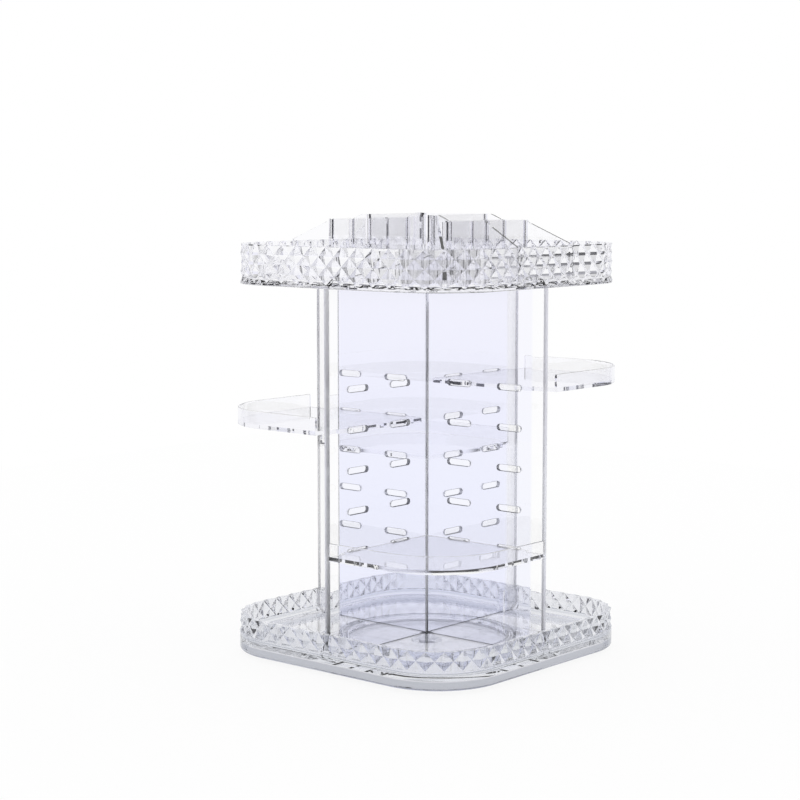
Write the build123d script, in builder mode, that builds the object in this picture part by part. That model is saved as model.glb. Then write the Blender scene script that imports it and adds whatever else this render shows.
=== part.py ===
from build123d import *
from math import pi, sqrt
import os

# Plan outlines: squares with large round corners, measured over the facets
BASE_HALF = 117.0
BASE_CORNER = 54.0
TOP_HALF = 114.5
TOP_CORNER = 51.5
SHELF_HALF = 117.0
SHELF_CORNER = 54.0

# Diamond-cut rims of the two trays
BASE_DIAMOND_COUNT = 60  # diamonds round a rim, with one on each corner
TOP_DIAMOND_COUNT = 56
BASE_FACET_ROWS = 2  # half-diamond rows: one diamond high on the base, two on the top tray
TOP_FACET_ROWS = 4
FACET_DEPTH = 2.0  # from a groove to the tip of a diamond
FACET_SETBACK = 0.3  # tips behind the plain wall below them
RIM_WALL = 3.0  # wall behind the grooves

# Base tray
BASE_CLEAR = 3.0  # the base's lower edge above the table
BASE_RIM_TALL = 28.0
BASE_PLAIN_TALL = 14.0  # plain wall under the diamonds
BASE_EDGE_ROUND = 2.5  # lower outer edge
BASE_FLOOR_RISE = 9.8  # top of the floor above the base's lower edge
BASE_FLOOR = 3.0
BASE_FLOOR_ROUND = 4.0  # round between floor and wall

# Sockets that hold the plate ends
SOCKET_LONG = 18.0
SOCKET_WALL = 2.0
SOCKET_DROP = 0.5  # socket tops below the rim
SOCKET_FIT = 0.2

# Crossed partition plates
PLATE_TALL = 268.6
PLATE_THICK = 3.0
PLATE_END_FIT = 0.4  # gap to the base's inner wall
MARGIN_THICK = 5.0  # the upright margins thicken to this at the plate ends
MARGIN_WIDE = 11.4
LAP_FIT = 0.1  # play in the half laps, each side
CORNER_CLEAR = 1.0  # plate corners cut back past the floor round

# Slots for the shelf tabs, in two columns on each half plate
SLOT_INNER_RADIUS = 32.2
SLOT_OUTER_RADIUS = 79.4
SLOT_LONG = 22.0
SLOT_TALL = 5.0
LEVELS = 5
LEVEL_RISE = 74.7  # lowest slots above the base floor
LEVEL_PITCH = 30.0

# Quarter shelf trays
SHELF_THICK = 3.0
SHELF_GAP = 0.5  # shelf edge to the plate's face
LIP_TALL = 10.0
LIP_THICK = 1.8
LIP_ROUND = 0.6
LIP_START = 6.5  # lip ends, and the shelf's edge along a margin, from the plate's middle
MARGIN_PASS = 1.5  # shelf edge to the start of a plate's margin
SHELF_NOSE_ROUND = 6.0  # inner corner, next to the crossing of the plates
SHELF_TAB_WIDE = 11.0
SHELF_TAB_IN = 0.5  # tab centre set towards the axis from the slot's
SHELF_TAB_SHORT = 0.3  # tab tips stay this far inside the plate's far face

# Top tray
TOP_RIM_TALL = 30.0
TOP_FLOOR = 3.0
TOP_FLOOR_ROUND = 3.5
TOP_PLAIN_TALL = 2.0  # plain edge under the diamonds
TOP_EDGE_ROUND = 0.8
PLATE_TAB_RADIUS = 57.5  # tabs on the plate tops, in slots in the tray's floor
PLATE_TAB_WIDE = 16.0
PLATE_TAB_FIT = 0.3

# Upright dividers in the top tray, heights above its floor and distances from its middle
DIVIDER_THICK = 2.0
DIVIDER_FIT = 0.2
LONG_OFFSET = 31.0  # the two full-width dividers
INNER_OFFSET = 30.0  # cross dividers, from the middle outwards
OUTER_OFFSET = 47.0
TIER_OFFSET = 68.0
CROSS_STUB = 2.5  # cross dividers reach this far past a full-width one
PEAK_RISE = 48.6
PEAK_END = 37.0  # where the high middle of a full-width divider starts to drop
STEP_RISE = 44.6
STEEP_START = 80.0  # the short slope down to the rim; the long one starts at the last cross divider
LONG_SLOPE_LIFT = 1.4  # foot of the long slope above the rim
CORNER_SLOPE_START = 73.0  # along the diagonal
CORNER_SLOPE_END = 124.0
RIB_LONG = 2.5
RIB_THICK = 2.0
RIB_DROP = 0.5  # rib tops below the rim

# Turntable under the base
PAD_PROUD = 1.0  # pads below the foot disc
PAD_RADIUS = 6.5
PAD_RECESS = 1.2
PAD_FIT = 0.1
PAD_COUNT = 6
PAD_RING_RADIUS = 75.0
FOOT_RADIUS = 86.0
FOOT_THICK = 3.0
FOOT_EDGE = 0.6
BALL_RADIUS = 2.0
BALL_COUNT = 16
BALL_RING_RADIUS = 66.0
BALL_FIT = 0.1
RACE_DEPTH = 0.6  # how deep a ball sits in each race
TRACK_WIDE = 7.0
CAGE_THICK = 1.0
CAGE_WIDE = 8.0
CAGE_FIT = 0.15

# Pivot in the middle of the turntable
BOSS_RADIUS = 6.0
BOSS_FIT = 0.05
HUB_RADIUS = 12.0
HUB_TALL = 5.5  # hub top above the foot disc's underside
WASHER_RADIUS = 9.0
WASHER_HOLE = 1.7
WASHER_THICK = 0.8
WASHER_WELL = 10.0  # radius of the well under the hub
SCREW_RADIUS = 1.5
SCREW_FIT = 0.05
SCREW_LONG = 6.0
SCREW_HEAD_RADIUS = 3.5
SCREW_HEAD_TALL = 1.4
SCREW_RECESS = 2.0  # depth of the cross-shaped driver recess arms
PIVOT_PLAY = 0.1  # end play of the pivot

# Heights that follow from the sizes above
foot_bottom = PAD_PROUD
foot_top = foot_bottom + FOOT_THICK
base_floor_top = BASE_CLEAR + BASE_FLOOR_RISE
base_floor_under = base_floor_top - BASE_FLOOR
ball_height = foot_top - RACE_DEPTH + BALL_RADIUS
track_bottom = ball_height + BALL_RADIUS - RACE_DEPTH
top_bottom = base_floor_top + PLATE_TALL
top_floor_top = top_bottom + TOP_FLOOR
rim_thick = FACET_DEPTH + RIM_WALL
base_inner = BASE_HALF - rim_thick
base_inner_corner = BASE_CORNER - rim_thick
top_inner = TOP_HALF - rim_thick
top_inner_corner = TOP_CORNER - rim_thick


def diagonal_reach(half, corner):
    """Distance from the middle of a rounded square to its outline along a diagonal."""
    return (half - corner) * sqrt(2) + corner


def outline_point(half, corner, travel, inset):
    """Plan point on a rounded square, travel along its edge from the front corner's middle."""
    bend = corner * pi / 4
    run = 2 * (half - corner)
    turns, along = divmod(travel, run + 2 * bend)
    centre = half - corner
    arm = Vector(corner - inset, 0)
    if along < bend:
        point = Vector(centre, -centre) + arm.rotate(Axis.Z, 45 * (along / bend - 1))
    elif along < bend + run:
        point = Vector(half - inset, along - bend - centre)
    else:
        point = Vector(centre, centre) + arm.rotate(Axis.Z, 45 * (along - bend - run) / bend)
    return point.rotate(Axis.Z, 90 * turns)


def faceted_block(half, corner, bottom, tall, count, rows):
    """A rounded square block whose sides are cut into diamonds: each lattice node is a groove
    crossing or a diamond's tip in turn, and each cell is split along its groove."""
    columns = 2 * count
    step = (8 * (half - corner) + 2 * pi * corner) / columns

    def node(column, row):
        groove = (column + row) % 2 == 0
        plan = outline_point(half, corner, column * step, FACET_DEPTH if groove else 0)
        return Vector(plan.X, plan.Y, bottom + tall * row / rows)

    rings = [[node(column, row) for column in range(columns)] for row in range(rows + 1)]
    corners = [rings[0], rings[-1]]
    for row in range(rows):
        for column in range(columns):
            following = (column + 1) % columns
            low, low_next = rings[row][column], rings[row][following]
            high, high_next = rings[row + 1][column], rings[row + 1][following]
            if (column + row) % 2 == 0:
                corners += [(low, low_next, high_next), (low, high_next, high)]
            else:
                corners += [(low, low_next, high), (low_next, high_next, high)]
    return Solid(Shell([Face(Wire.make_polygon(points)) for points in corners]))


def rim_block(half, corner, bottom, tall, plain_tall, edge_round, count, rows):
    """The outside of a tray: a plain foot with a round lower edge, and diamonds cut above it."""
    with BuildPart() as block:
        with BuildSketch(Plane.XY.offset(bottom)):
            RectangleRounded(2 * half, 2 * half, corner)
        extrude(amount=plain_tall)
        fillet(block.edges().group_by(Axis.Z)[0], radius=edge_round)
        add(
            faceted_block(
                half - FACET_SETBACK,
                corner - FACET_SETBACK,
                bottom + plain_tall,
                tall - plain_tall,
                count,
                rows,
            )
        )
    return block.part


def tray_pocket(half, corner, bottom, depth, floor_round):
    """The inside of a tray, with a round between its floor and its wall."""
    with BuildPart() as pocket:
        with BuildSketch(Plane.XY.offset(bottom)):
            RectangleRounded(2 * half, 2 * half, corner)
        extrude(amount=depth)
        fillet(pocket.edges().group_by(Axis.Z)[0], radius=floor_round)
    return pocket.part


def finish(builder, name):
    """Labels a finished piece and writes its file."""
    builder.part.label = name
    export_step(builder.part, f"parts/{name}.step")


os.makedirs("parts", exist_ok=True)

# Foot disc: the still half of the turntable, with a ball race on top and a hub round the pivot
with BuildPart() as foot_disc:
    with BuildSketch(Plane.XY.offset(foot_bottom)):
        Circle(FOOT_RADIUS)
    extrude(amount=FOOT_THICK)
    chamfer(foot_disc.edges(), length=FOOT_EDGE)
    with BuildSketch(Plane.XY.offset(foot_bottom)):
        Circle(HUB_RADIUS)
    extrude(amount=HUB_TALL)
    with BuildSketch(Plane.XZ):
        with Locations((BALL_RING_RADIUS, ball_height)):
            Circle(BALL_RADIUS + BALL_FIT)
    revolve(axis=Axis.Z, mode=Mode.SUBTRACT)
    with BuildSketch(Plane.XY.offset(foot_bottom)):
        with PolarLocations(PAD_RING_RADIUS, PAD_COUNT):
            Circle(PAD_RADIUS + PAD_FIT)
    extrude(amount=PAD_RECESS, mode=Mode.SUBTRACT)
    with BuildSketch(Plane.XY.offset(foot_bottom)):
        Circle(WASHER_WELL)
    extrude(amount=SCREW_HEAD_TALL + WASHER_THICK + PIVOT_PLAY, mode=Mode.SUBTRACT)
    with BuildSketch(Plane.XY.offset(foot_bottom)):
        Circle(BOSS_RADIUS + BOSS_FIT)
    extrude(amount=HUB_TALL, mode=Mode.SUBTRACT)
finish(foot_disc, "foot_disc")

# Rubber pads pressed into the recesses under the foot disc
with BuildPart() as foot_pads:
    with BuildSketch():
        with PolarLocations(PAD_RING_RADIUS, PAD_COUNT):
            Circle(PAD_RADIUS)
    extrude(amount=PAD_PROUD + PAD_RECESS)
    chamfer(foot_pads.edges().group_by(Axis.Z)[0], length=FOOT_EDGE)
finish(foot_pads, "foot_pads")

# Balls that carry the base tray
with BuildPart() as bearing_balls:
    with Locations(Plane.XY.offset(ball_height)):
        with PolarLocations(BALL_RING_RADIUS, BALL_COUNT):
            Sphere(BALL_RADIUS)
finish(bearing_balls, "bearing_balls")

# Flat ring that keeps the balls apart
with BuildPart() as ball_cage:
    with BuildSketch(Plane.XY.offset(ball_height - CAGE_THICK / 2)):
        Circle(BALL_RING_RADIUS + CAGE_WIDE / 2)
        Circle(BALL_RING_RADIUS - CAGE_WIDE / 2, mode=Mode.SUBTRACT)
        with PolarLocations(BALL_RING_RADIUS, BALL_COUNT):
            Circle(BALL_RADIUS + CAGE_FIT, mode=Mode.SUBTRACT)
    extrude(amount=CAGE_THICK)
finish(ball_cage, "ball_cage")

# Base tray: plain foot under a diamond-cut rim, floor, sockets for the plates, and underneath
# the ball track and the pivot boss
base_block = rim_block(
    BASE_HALF,
    BASE_CORNER,
    BASE_CLEAR,
    BASE_RIM_TALL,
    BASE_PLAIN_TALL,
    BASE_EDGE_ROUND,
    BASE_DIAMOND_COUNT,
    BASE_FACET_ROWS,
)
base_pocket = tray_pocket(
    base_inner, base_inner_corner, base_floor_top, BASE_RIM_TALL, BASE_FLOOR_ROUND
)
plate_half = base_inner - PLATE_END_FIT
socket_from_middle = MARGIN_THICK / 2 + SOCKET_FIT + SOCKET_WALL / 2
socket_root = base_inner + RIM_WALL / 2
boss_bottom = foot_bottom + SCREW_HEAD_TALL + WASHER_THICK
with BuildPart() as base_tray:
    add(base_block)
    add(base_pocket, mode=Mode.SUBTRACT)
    with BuildSketch(Plane.XY.offset(BASE_CLEAR)):
        RectangleRounded(2 * base_inner, 2 * base_inner, base_inner_corner)
    extrude(amount=BASE_FLOOR_RISE - BASE_FLOOR, mode=Mode.SUBTRACT)
    with BuildSketch(Plane.XY.offset(base_floor_top)):
        with PolarLocations(socket_root - (SOCKET_LONG + RIM_WALL / 2) / 2, 4):
            with Locations((0, socket_from_middle), (0, -socket_from_middle)):
                Rectangle(SOCKET_LONG + RIM_WALL / 2, SOCKET_WALL)
    extrude(amount=BASE_RIM_TALL - BASE_FLOOR_RISE - SOCKET_DROP)
    with BuildSketch(Plane.XY.offset(track_bottom)):
        Circle(BALL_RING_RADIUS + TRACK_WIDE / 2)
        Circle(BALL_RING_RADIUS - TRACK_WIDE / 2, mode=Mode.SUBTRACT)
    extrude(amount=base_floor_under - track_bottom)
    with BuildSketch(Plane.XZ):
        with Locations((BALL_RING_RADIUS, ball_height)):
            Circle(BALL_RADIUS + BALL_FIT)
    revolve(axis=Axis.Z, mode=Mode.SUBTRACT)
    with BuildSketch(Plane.XY.offset(boss_bottom)):
        Circle(BOSS_RADIUS)
    extrude(amount=base_floor_under - boss_bottom)
    with BuildSketch(Plane.XY.offset(boss_bottom)):
        Circle(SCREW_RADIUS + SCREW_FIT)
    extrude(amount=SCREW_LONG + SCREW_FIT, mode=Mode.SUBTRACT)
finish(base_tray, "base_tray")

# Washer under the pivot boss
with BuildPart() as pivot_washer:
    with BuildSketch(Plane.XY.offset(boss_bottom - WASHER_THICK)):
        Circle(WASHER_RADIUS)
        Circle(WASHER_HOLE, mode=Mode.SUBTRACT)
    extrude(amount=WASHER_THICK)
finish(pivot_washer, "pivot_washer")

# Pan-head screw up into the pivot boss
with BuildPart() as pivot_screw:
    with BuildSketch(Plane.XY.offset(foot_bottom)):
        Circle(SCREW_HEAD_RADIUS)
    extrude(amount=SCREW_HEAD_TALL)
    fillet(pivot_screw.edges().group_by(Axis.Z)[0], radius=SCREW_HEAD_TALL / 2)
    with BuildSketch(Plane.XY.offset(foot_bottom + SCREW_HEAD_TALL)):
        Circle(SCREW_RADIUS)
    extrude(amount=SCREW_LONG + WASHER_THICK)
    with BuildSketch(Plane.XY.offset(foot_bottom)):
        Rectangle(2 * SCREW_RECESS, SCREW_RADIUS / 2)
        Rectangle(SCREW_RADIUS / 2, 2 * SCREW_RECESS)
    extrude(amount=SCREW_HEAD_TALL / 2, mode=Mode.SUBTRACT)
finish(pivot_screw, "pivot_screw")


# Partition plates: two full-width plates that cross in a half lap and stand in the base's sockets
def partition_plate(along, across, lap_height):
    """A slotted plate along one axis, with a half-lap notch centred at lap_height up the plate."""
    plan = Plane((0, 0, base_floor_top), x_dir=along, z_dir=(0, 0, 1))
    side = Plane((0, 0, base_floor_top), x_dir=along, z_dir=across)
    margin_start = plate_half - MARGIN_WIDE
    corner_cut = BASE_FLOOR_ROUND + CORNER_CLEAR
    with BuildPart() as plate:
        with BuildSketch(plan):
            with BuildLine():
                Polyline(
                    (0, PLATE_THICK / 2),
                    (margin_start, PLATE_THICK / 2),
                    (plate_half, MARGIN_THICK / 2),
                    (plate_half, 0),
                    (0, 0),
                    close=True,
                )
            make_face()
            mirror(about=Plane.XZ)
            mirror(about=Plane.YZ)
        extrude(amount=PLATE_TALL)
        with BuildSketch(side):
            with GridLocations(2 * PLATE_TAB_RADIUS, 0, 2, 1):
                with Locations((0, PLATE_TALL + (TOP_FLOOR - PLATE_TAB_FIT) / 2)):
                    Rectangle(PLATE_TAB_WIDE, TOP_FLOOR - PLATE_TAB_FIT)
        extrude(amount=PLATE_THICK / 2, both=True)
        with BuildSketch(side):
            with BuildLine():
                Polyline(
                    (plate_half, 0),
                    (plate_half, corner_cut),
                    (plate_half - corner_cut, 0),
                    close=True,
                )
            make_face()
            mirror(about=Plane.YZ)
            for radius in (SLOT_INNER_RADIUS, SLOT_OUTER_RADIUS):
                with Locations((0, LEVEL_RISE + LEVEL_PITCH * (LEVELS - 1) / 2)):
                    with GridLocations(2 * radius, LEVEL_PITCH, 2, LEVELS):
                        SlotOverall(SLOT_LONG, SLOT_TALL)
            with Locations((0, lap_height)):
                Rectangle(PLATE_THICK + 2 * LAP_FIT, PLATE_TALL / 2 + 2 * LAP_FIT)
        extrude(amount=MARGIN_THICK, both=True, mode=Mode.SUBTRACT)
    return plate


partition_plate_lower = partition_plate((1, 0, 0), (0, -1, 0), PLATE_TALL * 3 / 4)
finish(partition_plate_lower, "partition_plate_lower")
partition_plate_upper = partition_plate((0, 1, 0), (1, 0, 0), PLATE_TALL / 4)
finish(partition_plate_upper, "partition_plate_upper")


# Shelf trays: quarter trays that push in along their diagonal until the tabs sit in the slots
def shelf_tray(level, turn):
    """A quarter tray at a slot level, counted from the lowest, turned about the axis."""
    height = base_floor_top + LEVEL_RISE + LEVEL_PITCH * level - SHELF_THICK / 2
    plan = Plane((0, 0, height), x_dir=Vector(1, 0, 0).rotate(Axis.Z, turn), z_dir=(0, 0, 1))
    edge = PLATE_THICK / 2 + SHELF_GAP
    reach = SHELF_HALF - edge
    margin_start = plate_half - MARGIN_WIDE - MARGIN_PASS
    margin_long = SHELF_HALF - margin_start
    tab_long = edge + PLATE_THICK / 2 - SHELF_TAB_SHORT
    tab_middle = edge - tab_long / 2
    with BuildPart() as tray:
        with BuildSketch(plan) as tray_sketch:
            RectangleRounded(2 * SHELF_HALF, 2 * SHELF_HALF, SHELF_CORNER)
            with Locations((edge + reach / 2, -edge - reach / 2)):
                Rectangle(reach, reach, mode=Mode.INTERSECT)
            fillet(tray_sketch.vertices().sort_by_distance((0, 0))[0], radius=SHELF_NOSE_ROUND)
            with Locations((margin_start + margin_long / 2, 0)):
                Rectangle(margin_long, 2 * LIP_START, mode=Mode.SUBTRACT)
            with Locations((0, -margin_start - margin_long / 2)):
                Rectangle(2 * LIP_START, margin_long, mode=Mode.SUBTRACT)
            for radius in (SLOT_INNER_RADIUS, SLOT_OUTER_RADIUS):
                with Locations((radius - SHELF_TAB_IN, -tab_middle)):
                    Rectangle(SHELF_TAB_WIDE, tab_long)
                with Locations((tab_middle, SHELF_TAB_IN - radius)):
                    Rectangle(tab_long, SHELF_TAB_WIDE)
        extrude(amount=SHELF_THICK)
        with BuildSketch(plan.offset(SHELF_THICK)):
            RectangleRounded(2 * SHELF_HALF, 2 * SHELF_HALF, SHELF_CORNER)
            RectangleRounded(
                2 * (SHELF_HALF - LIP_THICK),
                2 * (SHELF_HALF - LIP_THICK),
                SHELF_CORNER - LIP_THICK,
                mode=Mode.SUBTRACT,
            )
            with Locations((LIP_START + SHELF_HALF / 2, -LIP_START - SHELF_HALF / 2)):
                Rectangle(SHELF_HALF, SHELF_HALF, mode=Mode.INTERSECT)
        extrude(amount=LIP_TALL)
        fillet(tray.edges().group_by(Axis.Z)[-1], radius=min(LIP_ROUND, 0.4 * LIP_THICK))
    return tray


for place, level, turn in (("front", 0, 0), ("back", 2, 180), ("left", 3, 270), ("right", 4, 90)):
    finish(shelf_tray(level, turn), f"shelf_tray_{place}")

# Top tray: diamond-cut rim, floor with slots over the plate tabs, rib pairs that hold the dividers
top_block = rim_block(
    TOP_HALF,
    TOP_CORNER,
    top_bottom,
    TOP_RIM_TALL,
    TOP_PLAIN_TALL,
    TOP_EDGE_ROUND,
    TOP_DIAMOND_COUNT,
    TOP_FACET_ROWS,
)
top_pocket = tray_pocket(top_inner, top_inner_corner, top_floor_top, TOP_RIM_TALL, TOP_FLOOR_ROUND)
rib_gap = DIVIDER_THICK / 2 + DIVIDER_FIT + RIB_THICK / 2
rib_offsets = [side * LONG_OFFSET + step for side in (-1, 1) for step in (-rib_gap, rib_gap)]
rib_length = RIB_LONG + RIM_WALL / 2
corner_reach = diagonal_reach(top_inner, top_inner_corner)
with BuildPart() as top_tray:
    add(top_block)
    add(top_pocket, mode=Mode.SUBTRACT)
    with BuildSketch(Plane.XY.offset(top_bottom)):
        with PolarLocations(PLATE_TAB_RADIUS, 4):
            Rectangle(PLATE_TAB_WIDE + 2 * PLATE_TAB_FIT, PLATE_THICK + 2 * PLATE_TAB_FIT)
    extrude(amount=TOP_FLOOR, mode=Mode.SUBTRACT)
    with BuildSketch(Plane.XY.offset(top_floor_top)):
        with PolarLocations(top_inner + RIM_WALL / 2 - rib_length / 2, 2):
            with Locations([(0, offset) for offset in rib_offsets]):
                Rectangle(rib_length, RIB_THICK)
        with PolarLocations(corner_reach + RIM_WALL / 2 - rib_length / 2, 2, start_angle=-45):
            with Locations((0, rib_gap), (0, -rib_gap)):
                Rectangle(rib_length, RIB_THICK)
    extrude(amount=TOP_RIM_TALL - TOP_FLOOR - RIB_DROP)
finish(top_tray, "top_tray")


# Dividers: clear plates that stand on the top tray's floor and lap into each other
def upright(origin, along, across):
    """A plane on the tray's floor with x along the divider and y up."""
    return Plane(origin, x_dir=along, z_dir=across)


def lap(position, low, high):
    """Cuts a half-lap notch for another divider into the sketch in hand."""
    with Locations((position, (low + high) / 2)):
        Rectangle(DIVIDER_THICK + 2 * DIVIDER_FIT, high - low, mode=Mode.SUBTRACT)


rim_rise = TOP_RIM_TALL - TOP_FLOOR
long_end = top_inner - DIVIDER_FIT
end_cut = TOP_FLOOR_ROUND + DIVIDER_FIT
cross_end = LONG_OFFSET + DIVIDER_THICK / 2 + CROSS_STUB

# Full-width dividers: high middle, a step, then a long slope to the rim at one end and a short
# one at the other; the far divider is the near one turned half round
for name, side in (("divider_near", 1), ("divider_far", -1)):
    with BuildPart() as divider:
        with BuildSketch(upright((0, -side * LONG_OFFSET, top_floor_top), (side, 0, 0), (0, -side, 0))):
            with BuildLine():
                Polyline(
                    (-long_end, rim_rise + LONG_SLOPE_LIFT),
                    (-TIER_OFFSET, STEP_RISE),
                    (-OUTER_OFFSET, STEP_RISE),
                    (-PEAK_END, PEAK_RISE),
                    (PEAK_END, PEAK_RISE),
                    (OUTER_OFFSET, STEP_RISE),
                    (STEEP_START, STEP_RISE),
                    (long_end, rim_rise),
                    (long_end, end_cut),
                    (long_end - end_cut, 0),
                    (end_cut - long_end, 0),
                    (-long_end, end_cut),
                    close=True,
                )
            make_face()
            for offset, rise in (
                (INNER_OFFSET, PEAK_RISE),
                (OUTER_OFFSET, STEP_RISE),
                (TIER_OFFSET, STEP_RISE),
            ):
                lap(offset, rise / 2 - DIVIDER_FIT, 2 * PEAK_RISE)
                lap(-offset, rise / 2 - DIVIDER_FIT, 2 * PEAK_RISE)
        extrude(amount=DIVIDER_THICK / 2, both=True)
    finish(divider, name)

# Cross dividers over the full-width ones; the outermost two reach on to a diagonal divider
tier_end = TIER_OFFSET - DIVIDER_THICK / 2 - DIVIDER_THICK / sqrt(2) - DIVIDER_FIT
for name, side, offset, rise, reach in (
    ("divider_left", -1, INNER_OFFSET, PEAK_RISE, cross_end),
    ("divider_right", 1, INNER_OFFSET, PEAK_RISE, cross_end),
    ("divider_tier_left_front", -1, OUTER_OFFSET, STEP_RISE, cross_end),
    ("divider_tier_right_back", 1, OUTER_OFFSET, STEP_RISE, cross_end),
    ("divider_tier_left_back", -1, TIER_OFFSET, STEP_RISE, tier_end),
    ("divider_tier_right_front", 1, TIER_OFFSET, STEP_RISE, tier_end),
):
    with BuildPart() as divider:
        with BuildSketch(upright((side * offset, 0, top_floor_top), (0, -side, 0), (-side, 0, 0))):
            with Locations(((reach - cross_end) / 2, rise / 2)):
                Rectangle(reach + cross_end, rise)
            lap(LONG_OFFSET, 0, rise / 2 + DIVIDER_FIT)
            lap(-LONG_OFFSET, 0, rise / 2 + DIVIDER_FIT)
        extrude(amount=DIVIDER_THICK / 2, both=True)
    finish(divider, name)

# Diagonal dividers in the front and back corners
corner_start = (cross_end + DIVIDER_FIT) * sqrt(2) + DIVIDER_THICK / 2
corner_end = corner_reach - DIVIDER_FIT
for name, side in (("divider_front_corner", 1), ("divider_back_corner", -1)):
    with BuildPart() as divider:
        with BuildSketch(upright((0, 0, top_floor_top), (side, -side, 0), (-side, -side, 0))):
            with BuildLine():
                Polyline(
                    (corner_start, 0),
                    (corner_start, PEAK_RISE),
                    (CORNER_SLOPE_START, PEAK_RISE),
                    (CORNER_SLOPE_END, rim_rise),
                    (corner_end, rim_rise),
                    (corner_end, end_cut),
                    (corner_end - end_cut, 0),
                    close=True,
                )
            make_face()
        extrude(amount=DIVIDER_THICK / 2, both=True)
    finish(divider, name)
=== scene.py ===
import math

import bpy
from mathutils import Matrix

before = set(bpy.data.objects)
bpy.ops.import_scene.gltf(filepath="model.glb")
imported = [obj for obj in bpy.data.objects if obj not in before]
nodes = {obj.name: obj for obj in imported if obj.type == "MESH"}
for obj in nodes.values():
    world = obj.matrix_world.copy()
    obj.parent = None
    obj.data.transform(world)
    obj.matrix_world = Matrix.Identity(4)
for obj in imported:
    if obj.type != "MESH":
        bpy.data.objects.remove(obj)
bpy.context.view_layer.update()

scene = bpy.context.scene


# Turntable foot: the still disc under the organizer, moulded in clear polystyrene. Its mould
# has a fine texture, drawn here as coarse as it needs to show, so the disc looks slightly
# blurred through the base.
MM_PER_METRE = 1000
NOISE_LOW = 0.3  # a noise pattern mostly stays between these two values
NOISE_HIGH = 0.7


def linear(hex_colour):
    """An sRGB hex colour as linear red, green, blue and alpha."""
    channels = [int(hex_colour[i : i + 2], 16) / 255 for i in (1, 3, 5)]
    return [c / 12.92 if c <= 0.04045 else ((c + 0.055) / 1.055) ** 2.4 for c in channels] + [1.0]


def add_node(tree, kind, settings=None, inputs=None):
    """Adds a shader node, sets its properties, and sets or links its inputs."""
    node = tree.nodes.new(kind)
    for name, value in (settings or {}).items():
        setattr(node, name, value)
    for name, value in (inputs or {}).items():
        if isinstance(value, bpy.types.NodeSocket):
            tree.links.new(value, node.inputs[name])
        else:
            node.inputs[name].default_value = value
    return node


def new_material(name):
    """An empty node material and its node tree."""
    material = bpy.data.materials.new(name)
    material.use_nodes = True
    material.node_tree.nodes.clear()
    return material, material.node_tree


def lumps(tree, size_mm, detail):
    """A pattern of soft lumps about size_mm across, fixed to the piece."""
    place = add_node(tree, "ShaderNodeTexCoord").outputs["Object"]
    scale = MM_PER_METRE / size_mm
    pattern = add_node(
        tree,
        "ShaderNodeTexNoise",
        inputs={"Vector": place, "Scale": scale, "Detail": detail, "Roughness": 0.5},
    )
    return pattern.outputs["Fac"]


def surface(tree, values):
    """Ends a material in one Principled shader with the given inputs."""
    shader = add_node(tree, "ShaderNodeBsdfPrincipled", inputs=values)
    add_node(tree, "ShaderNodeOutputMaterial", inputs={"Surface": shader.outputs["BSDF"]})
    return shader


def cover(material, *names):
    """Puts one material on the named CAD pieces."""
    for name in names:
        nodes[name].data.materials.clear()
        nodes[name].data.materials.append(material)


def clear_polystyrene(name, tint, wave_mm, wave_tall_mm, haze):
    """Clear polystyrene: glossy, with slow flow waves that bend what shows through it and a faint
    haze that comes and goes over the surface."""
    material, tree = new_material(name)
    waves = add_node(
        tree,
        "ShaderNodeBump",
        inputs={
            "Height": lumps(tree, wave_mm, detail=1.0),
            "Distance": wave_tall_mm / MM_PER_METRE,
        },
    )
    values = {
        "Base Color": linear(tint),
        "Roughness": 0.0,
        "IOR": 1.59,
        "Transmission Weight": 1.0,
        "Normal": waves.outputs["Normal"],
    }
    if haze:
        hazy = add_node(
            tree,
            "ShaderNodeMapRange",
            inputs={
                "Value": lumps(tree, size_mm=8.0, detail=3.0),
                "From Min": NOISE_LOW,
                "From Max": NOISE_HIGH,
                "To Max": haze,
            },
        )
        values["Roughness"] = hazy.outputs["Result"]
    return material, surface(tree, values)


foot_plastic, _ = clear_polystyrene(
    "clear_polystyrene_textured", tint="#fafbfe", wave_mm=0.9, wave_tall_mm=0.01, haze=0.1
)
cover(foot_plastic, "foot_disc")

# Foot pads: round pads of translucent white silicone rubber, pressed into recesses under the
# foot disc so that it can't slide. Dust on their matt skin mottles them.
pad_rubber, tree = new_material("silicone_rubber_matt")
dust = add_node(
    tree,
    "ShaderNodeMix",
    {"data_type": "RGBA"},
    {
        "Factor": lumps(tree, size_mm=2.5, detail=4.0),
        "A": linear("#cfd1d5"),
        "B": linear("#e3e4e7"),
    },
)
pad_skin = add_node(
    tree,
    "ShaderNodeBump",
    inputs={"Height": lumps(tree, size_mm=0.6, detail=2.0), "Distance": 0.02 / MM_PER_METRE},
)
surface(
    tree,
    {
        "Base Color": dust.outputs["Result"],
        "Roughness": 0.55,
        "IOR": 1.41,
        "Transmission Weight": 0.3,
        "Normal": pad_skin.outputs["Normal"],
    },
)
cover(pad_rubber, "foot_pads")

# Bearing balls: polished bearing steel, loose between the foot disc and the base tray, so that
# the base rolls on them. Rubbing leaves them unevenly bright.
ball_steel, tree = new_material("bearing_steel_polished")
rubbed = add_node(
    tree,
    "ShaderNodeMapRange",
    inputs={
        "Value": lumps(tree, size_mm=0.8, detail=3.0),
        "From Min": NOISE_LOW,
        "From Max": NOISE_HIGH,
        "To Min": 0.06,
        "To Max": 0.18,
    },
)
surface(
    tree,
    {
        "Base Color": linear("#c6c8cb"),
        "Metallic": 1.0,
        "Roughness": rubbed.outputs["Result"],
    },
)
cover(ball_steel, "bearing_balls")

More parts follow.
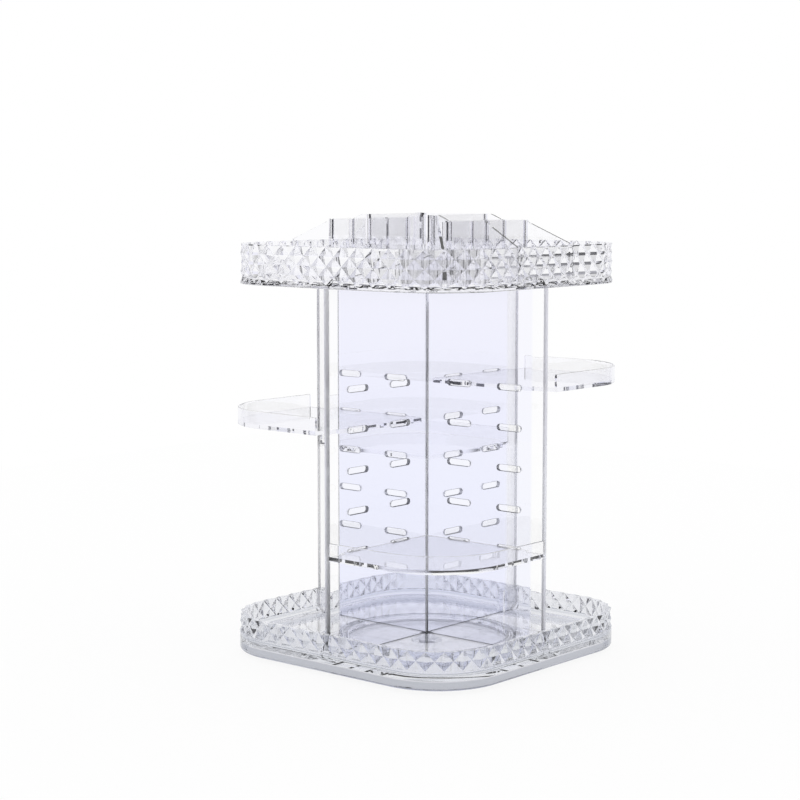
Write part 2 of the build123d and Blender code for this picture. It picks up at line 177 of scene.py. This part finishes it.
# Ball cage: a flat ring punched from natural white acetal sheet, which keeps the balls apart
# and rolls round with them. Acetal is milky and lets some light through.
cage_acetal, tree = new_material("acetal_natural_white")
milk = add_node(
    tree,
    "ShaderNodeMix",
    {"data_type": "RGBA"},
    {
        "Factor": lumps(tree, size_mm=6.0, detail=3.0),
        "A": linear("#e4e4e7"),
        "B": linear("#f1f1f2"),
    },
)
cage_skin = add_node(
    tree,
    "ShaderNodeBump",
    inputs={"Height": lumps(tree, size_mm=0.5, detail=2.0), "Distance": 0.01 / MM_PER_METRE},
)
surface(
    tree,
    {
        "Base Color": milk.outputs["Result"],
        "Roughness": 0.35,
        "IOR": 1.48,
        "Transmission Weight": 0.7,
        "Normal": cage_skin.outputs["Normal"],
    },
)
cover(cage_acetal, "ball_cage")

# Pivot: a pan-head screw and a washer, both zinc plated steel, that hold the foot disc to the
# boss in the middle of the base tray. The plating is bright with a fine uneven spangle.
zinc, tree = new_material("zinc_plate_bright")
spangle = add_node(
    tree,
    "ShaderNodeMix",
    {"data_type": "RGBA"},
    {
        "Factor": lumps(tree, size_mm=1.2, detail=4.0),
        "A": linear("#b4b8bd"),
        "B": linear("#cfd2d4"),
    },
)
plating = add_node(
    tree,
    "ShaderNodeMapRange",
    inputs={
        "Value": lumps(tree, size_mm=0.7, detail=3.0),
        "From Min": NOISE_LOW,
        "From Max": NOISE_HIGH,
        "To Min": 0.22,
        "To Max": 0.4,
    },
)
surface(
    tree,
    {
        "Base Color": spangle.outputs["Result"],
        "Metallic": 1.0,
        "Roughness": plating.outputs["Result"],
    },
)
cover(zinc, "pivot_washer", "pivot_screw")

# Base tray: one clear polystyrene moulding from a polished mould, which turns on the foot. It
# has a plain foot and a row of cut diamonds round its rim. The rim is painted greyer than the
# floor as shade, most of all in the foot, where it stands in for the shadowed table seen through
# it, and in a painted dark line where the diamonds start.
CORNER_CENTRE = 0.063  # middle of a round corner, from the axis along each side
RIM_START = 0.1115  # where the rim's cast fades in, from the axis
RIM_FULL = 0.1135
FOOT_END = 0.0095  # heights above the table
FOOT_FADED = 0.0105
# heights of a painted dark line below the diamonds, standing in for the shade refraction shows
# there
DARK_LINE_START = 0.0135
DARK_LINE_FULL = 0.0145
DARK_LINE_END = 0.0160
DARK_LINE_FADED = 0.0170
TRAY_CLEAR = "#fdfdff"
# painted shade: the foot's grey stands in for the shadowed table seen through it, the rim's grey
# for shade over the diamonds
FOOT_PAINTED_SHADE = "#a2a6b2"
RIM_PAINTED_SHADE = "#e3e5ea"
PAINTED_DARK_LINE = "#ccd0d8"


def band(tree, measure, start, end, before, after, easing="LINEAR"):
    """A colour that goes from before to after while the measure goes from start to end."""
    share = add_node(
        tree,
        "ShaderNodeMapRange",
        {"interpolation_type": easing},
        {"Value": measure, "From Min": start, "From Max": end},
    )
    mixed = add_node(
        tree,
        "ShaderNodeMix",
        {"data_type": "RGBA"},
        {"Factor": share.outputs["Result"], "A": before, "B": after},
    )
    return mixed.outputs["Result"]


tray_plastic, shader = clear_polystyrene(
    "clear_polystyrene_moulded", tint=TRAY_CLEAR, wave_mm=30.0, wave_tall_mm=0.02, haze=0.02
)
tree = tray_plastic.node_tree
place = add_node(tree, "ShaderNodeTexCoord").outputs["Object"]
height = add_node(tree, "ShaderNodeSeparateXYZ", inputs={"Vector": place}).outputs["Z"]
sideways = add_node(tree, "ShaderNodeVectorMath", {"operation": "ABSOLUTE"}, {0: place}).outputs[0]
for operation, amount in (
    ("MULTIPLY", (1.0, 1.0, 0.0)),
    ("SUBTRACT", (CORNER_CENTRE, CORNER_CENTRE, 0.0)),
    ("MAXIMUM", (0.0, 0.0, 0.0)),
):
    step = add_node(
        tree, "ShaderNodeVectorMath", {"operation": operation}, {0: sideways, 1: amount}
    )
    sideways = step.outputs[0]
past_centre = add_node(
    tree, "ShaderNodeVectorMath", {"operation": "LENGTH"}, {0: sideways}
).outputs["Value"]
# Painted shade: a grey foot, a painted dark line below the diamonds and a greyer rim
tint_and_painted_shading = band(tree, height, FOOT_END, FOOT_FADED, linear(FOOT_PAINTED_SHADE), linear(RIM_PAINTED_SHADE))
tint_and_painted_shading = band(tree, height, DARK_LINE_START, DARK_LINE_FULL, tint_and_painted_shading, linear(PAINTED_DARK_LINE))
tint_and_painted_shading = band(tree, height, DARK_LINE_END, DARK_LINE_FADED, tint_and_painted_shading, linear(RIM_PAINTED_SHADE))
tint_and_painted_shading = band(
    tree,
    past_centre,
    RIM_START - CORNER_CENTRE,
    RIM_FULL - CORNER_CENTRE,
    linear(TRAY_CLEAR),
    tint_and_painted_shading,
)
tree.links.new(tint_and_painted_shading, shader.inputs["Base Color"])
cover(tray_plastic, "base_tray")

# Partition plates: two slotted plates in clear polystyrene that cross in a half lap and stand
# in the base's sockets. Between their thicker upright margins the sheet has a lilac tint, painted
# lighter towards the top, and the margins are painted clear white for the light they gather;
# slot walls and plate ends are matt from the mould, level edges and slot walls carry painted
# shade, darkest on the slot walls, and the lap shows as a grey line.
LOW_PANEL = 0.12  # heights above the table
HIGH_PANEL = 0.28
SLOTS_END = 0.26
SLOTS_FADED = 0.27
LAP_END = 0.0017  # distances from the axis, along a plate
PANEL_END = 0.0995
MARGIN_START = 0.1005
PLATE_END = 0.1113
CUT_OFF = 0.0001  # length of a sharp change
FACE_TURNED = 0.7  # part of a face's normal that points across the sheet
WALL_TURNED = 0.3
LEVEL_START = 0.1  # part of a face's normal that points up or down
LEVEL_FULL = 0.5
WALL_MATT = 0.5
END_MATT = 0.4
# painted light: the lilac panel is painted lighter towards the top, and the margins white for the
# light they gather
LILAC_LOW_PAINTED_SHADE = "#f6f7ff"
LILAC_HIGH_PAINTED_LIGHT = "#fafaff"
MARGIN_PAINTED_LIGHT = "#ffffff"
# painted shade on level edges and, darker, on slot walls, standing in for the dark lines
# refraction shows there
EDGE_PAINTED_SHADE = "#c4c6d0"
SLOT_PAINTED_SHADE = "#9c9eaa"
LAP_GREY = "#e6e7ec"
plate_plastic, shader = clear_polystyrene(
    "clear_polystyrene_plate", tint=MARGIN_PAINTED_LIGHT, wave_mm=45.0, wave_tall_mm=0.02, haze=0.0
)
tree = plate_plastic.node_tree
place = add_node(tree, "ShaderNodeTexCoord").outputs["Object"]
facing = add_node(
    tree,
    "ShaderNodeVectorTransform",
    {"vector_type": "NORMAL", "convert_from": "WORLD", "convert_to": "OBJECT"},
    {"Vector": add_node(tree, "ShaderNodeNewGeometry").outputs["True Normal"]},
).outputs["Vector"]
spot, slant = [
    add_node(
        tree,
        "ShaderNodeSeparateXYZ",
        inputs={
            "Vector": add_node(
                tree, "ShaderNodeVectorMath", {"operation": "ABSOLUTE"}, {0: vector}
            ).outputs[0]
        },
    ).outputs
    for vector in (place, facing)
]
from_axis = add_node(
    tree, "ShaderNodeMath", {"operation": "MAXIMUM"}, {0: spot["X"], 1: spot["Y"]}
).outputs[0]

# A slot wall faces along its own plate: one plate lies along X, the other along Y
along_x = add_node(
    tree, "ShaderNodeMath", {"operation": "GREATER_THAN"}, {0: spot["X"], 1: spot["Y"]}
).outputs[0]
across = add_node(
    tree, "ShaderNodeMix", inputs={"Factor": along_x, "A": slant["X"], "B": slant["Y"]}
).outputs["Result"]
slot_wall = 1.0
for measure, start, end in (
    (across, FACE_TURNED, WALL_TURNED),
    (from_axis, PANEL_END, PANEL_END - CUT_OFF),
    (spot["Z"], SLOTS_FADED, SLOTS_END),
):
    share = add_node(
        tree,
        "ShaderNodeMapRange",
        inputs={"Value": measure, "From Min": start, "From Max": end},
    ).outputs["Result"]
    slot_wall = add_node(
        tree, "ShaderNodeMath", {"operation": "MULTIPLY"}, {0: slot_wall, 1: share}
    ).outputs[0]
level_wall = add_node(
    tree,
    "ShaderNodeMapRange",
    inputs={"Value": slant["Z"], "From Min": LEVEL_START, "From Max": LEVEL_FULL},
).outputs["Result"]
wall = add_node(
    tree, "ShaderNodeMath", {"operation": "MAXIMUM"}, {0: slot_wall, 1: level_wall}
).outputs[0]
# Painted light: the panel lighter towards the top and white in the margins
tint_and_painted_shading = band(tree, spot["Z"], LOW_PANEL, HIGH_PANEL, linear(LILAC_LOW_PAINTED_SHADE), linear(LILAC_HIGH_PAINTED_LIGHT))
tint_and_painted_shading = band(tree, from_axis, PANEL_END, MARGIN_START, tint_and_painted_shading, linear(MARGIN_PAINTED_LIGHT))
# Painted shade: grey on level edges and darker grey on slot walls
tint_and_painted_shading = band(tree, wall, 0.0, 1.0, tint_and_painted_shading, linear(EDGE_PAINTED_SHADE))
tint_and_painted_shading = band(tree, slot_wall, 0.0, 1.0, tint_and_painted_shading, linear(SLOT_PAINTED_SHADE))
tint_and_painted_shading = band(tree, from_axis, LAP_END, LAP_END + CUT_OFF, linear(LAP_GREY), tint_and_painted_shading)
wall_matt = add_node(
    tree, "ShaderNodeMath", {"operation": "MULTIPLY"}, {0: wall, 1: WALL_MATT}
).outputs[0]
end_matt = add_node(
    tree,
    "ShaderNodeMapRange",
    inputs={
        "Value": from_axis,
        "From Min": PLATE_END,
        "From Max": PLATE_END + CUT_OFF,
        "To Max": END_MATT,
    },
).outputs["Result"]
matt = add_node(
    tree, "ShaderNodeMath", {"operation": "MAXIMUM"}, {0: wall_matt, 1: end_matt}
).outputs[0]
tree.links.new(tint_and_painted_shading, shader.inputs["Base Color"])
tree.links.new(matt, shader.inputs["Roughness"])
cover(plate_plastic, "partition_plate_lower", "partition_plate_upper")

# Shelf trays: quarter trays in clear polystyrene with a low lip round the outside. Each one
# pushes in along its quarter's diagonal until its tabs sit in the slots of the plates.
shelf_plastic, _ = clear_polystyrene(
    "clear_polystyrene_shelf", tint="#fefeff", wave_mm=35.0, wave_tall_mm=0.02, haze=0.02
)
cover(shelf_plastic, "shelf_tray_front", "shelf_tray_right", "shelf_tray_back", "shelf_tray_left")

# Top tray: a second clear polystyrene moulding, with a rim two rows of cut diamonds high. It
# sits on the plate tops, with their tabs in its floor.
top_plastic, _ = clear_polystyrene(
    "clear_polystyrene_top", tint="#fdfdff", wave_mm=30.0, wave_tall_mm=0.02, haze=0.02
)
cover(top_plastic, "top_tray")

# Dividers: thin clear polystyrene plates that lap into each other and stand on the top tray's
# floor, held at the wall by pairs of ribs. They are the glossiest pieces.
divider_plastic, _ = clear_polystyrene(
    "clear_polystyrene_divider", tint="#fefeff", wave_mm=40.0, wave_tall_mm=0.02, haze=0.01
)
cover(divider_plastic, *[name for name in nodes if name.startswith("divider_")])

# Studio table: a plain painted top, mostly self-lit so that it renders white. The rest is matt
# paint that takes the organizer's soft shadow, a little more of it where the table shows
# through the plastic than where it is seen directly.
TABLE_HALF = 1.0
MATT_SEEN_DIRECT = 0.1
MATT_THROUGH_PLASTIC = 0.15
WHITE = "#ffffff"
PAINT_WHITE = "#fafafa"
table_mesh = bpy.data.meshes.new("studio_table")
table_corners = [(-1, -1), (1, -1), (1, 1), (-1, 1)]
table_mesh.from_pydata(
    [(TABLE_HALF * x, TABLE_HALF * y, 0) for x, y in table_corners], [], [(0, 1, 2, 3)]
)
table = bpy.data.objects.new("studio_table", table_mesh)
scene.collection.objects.link(table)
table_paint, tree = new_material("studio_white_paint")
matt = add_node(tree, "ShaderNodeBsdfDiffuse", inputs={"Color": linear(PAINT_WHITE)})
glow = add_node(tree, "ShaderNodeEmission", inputs={"Color": linear(WHITE), "Strength": 1.0})
direct = add_node(tree, "ShaderNodeLightPath").outputs["Is Camera Ray"]
matt_share = add_node(
    tree,
    "ShaderNodeMapRange",
    inputs={"Value": direct, "To Min": MATT_THROUGH_PLASTIC, "To Max": MATT_SEEN_DIRECT},
)
paint = add_node(
    tree,
    "ShaderNodeMixShader",
    inputs={
        0: matt_share.outputs["Result"],
        1: glow.outputs["Emission"],
        2: matt.outputs["BSDF"],
    },
)
add_node(tree, "ShaderNodeOutputMaterial", inputs={"Surface": paint.outputs["Shader"]})
table_mesh.materials.append(table_paint)

# Studio surround: white for what is seen directly or straight through the plastic. Reflections
# see the room instead: pale below the horizon, dim above it and lower down on the right, with a
# whitish sweep behind the organizer and white light overhead. The dim part darkens clear edges.
CAMERA_AZIMUTH = math.radians(39.946)
DIM_FROM, DIM_FULL = -1.2, 0.0  # degrees above the horizon
RIGHT_DIM_FROM, RIGHT_DIM_FULL = -4.0, -2.0
LIGHT_FROM, LIGHT_FULL = 12.0, 26.0
RIGHT_FROM, RIGHT_FULL = 0.0, 0.4  # how far a direction points to the right
SWEEP_FROM, SWEEP_FULL = 50.0, 30.0  # degrees from straight behind the organizer
DIM_ROOM = "#1e1e24"
LOW_ROOM = "#efeff9"
SWEEP = "#f8f8fb"
EASED = "SMOOTHSTEP"


def rise(degrees):
    """Height of a direction that rises by an angle above the horizon."""
    return math.sin(math.radians(degrees))


surround = bpy.data.worlds.new("studio_surround")
scene.world = surround
surround.use_nodes = True
tree = surround.node_tree
tree.nodes.clear()
direction = add_node(tree, "ShaderNodeTexCoord").outputs["Generated"]
height = add_node(tree, "ShaderNodeSeparateXYZ", inputs={"Vector": direction}).outputs["Z"]
level_way = add_node(
    tree, "ShaderNodeVectorMath", {"operation": "MULTIPLY"}, {0: direction, 1: (1.0, 1.0, 0.0)}
).outputs[0]
level_unit = add_node(
    tree, "ShaderNodeVectorMath", {"operation": "NORMALIZE"}, {0: level_way}
).outputs[0]
behind, right = [
    add_node(
        tree, "ShaderNodeVectorMath", {"operation": "DOT_PRODUCT"}, {0: level_unit, 1: way}
    ).outputs["Value"]
    for way in (
        (-math.sin(CAMERA_AZIMUTH), math.cos(CAMERA_AZIMUTH), 0.0),
        (math.cos(CAMERA_AZIMUTH), math.sin(CAMERA_AZIMUTH), 0.0),
    )
]
dim_above, dim_low, to_right = [
    add_node(
        tree,
        "ShaderNodeMapRange",
        {"interpolation_type": EASED},
        {"Value": measure, "From Min": start, "From Max": end},
    ).outputs["Result"]
    for measure, start, end in (
        (height, rise(DIM_FROM), rise(DIM_FULL)),
        (height, rise(RIGHT_DIM_FROM), rise(RIGHT_DIM_FULL)),
        (right, RIGHT_FROM, RIGHT_FULL),
    )
]
dim_right = add_node(
    tree, "ShaderNodeMath", {"operation": "MULTIPLY"}, {0: dim_low, 1: to_right}
).outputs[0]
dim = add_node(
    tree, "ShaderNodeMath", {"operation": "MAXIMUM"}, {0: dim_above, 1: dim_right}
).outputs[0]
sweep_start, sweep_full = [math.cos(math.radians(angle)) for angle in (SWEEP_FROM, SWEEP_FULL)]
room = band(tree, dim, 0.0, 1.0, linear(LOW_ROOM), linear(DIM_ROOM))
room = band(tree, behind, sweep_start, sweep_full, room, linear(SWEEP), EASED)
room = band(tree, height, rise(LIGHT_FROM), rise(LIGHT_FULL), room, linear(WHITE), EASED)
reflections = add_node(tree, "ShaderNodeLightPath").outputs["Glossy Depth"]
seen = band(tree, reflections, 0.0, 1.0, linear(WHITE), room)
background = add_node(tree, "ShaderNodeBackground", inputs={"Color": seen, "Strength": 1.0})
add_node(tree, "ShaderNodeOutputWorld", inputs={"Surface": background.outputs["Background"]})

# Camera: a short telephoto, a little above the top tray and one and a half metres away, that
# looks slightly down at the front quarter.
CAMERA_YAW = math.radians(0.784)
CAMERA_TILT = math.radians(6.487)
CAMERA_REACH = 1.4916
CAMERA_HEIGHT = 0.3618
camera_data = bpy.data.cameras.new("camera")
camera_data.lens = 88.93
camera_data.sensor_width = 36.0
camera = bpy.data.objects.new("camera", camera_data)
scene.collection.objects.link(camera)
camera.location = (
    CAMERA_REACH * math.sin(CAMERA_AZIMUTH),
    -CAMERA_REACH * math.cos(CAMERA_AZIMUTH),
    CAMERA_HEIGHT,
)
camera.rotation_euler = (math.pi / 2 - CAMERA_TILT, 0, CAMERA_AZIMUTH + CAMERA_YAW)
scene.camera = camera

# Render settings: light runs far along inside clear plates, so paths may bounce many times.
scene.view_settings.view_transform = "Standard"
scene.cycles.max_bounces = 128
scene.cycles.transmission_bounces = 64
scene.cycles.glossy_bounces = 96
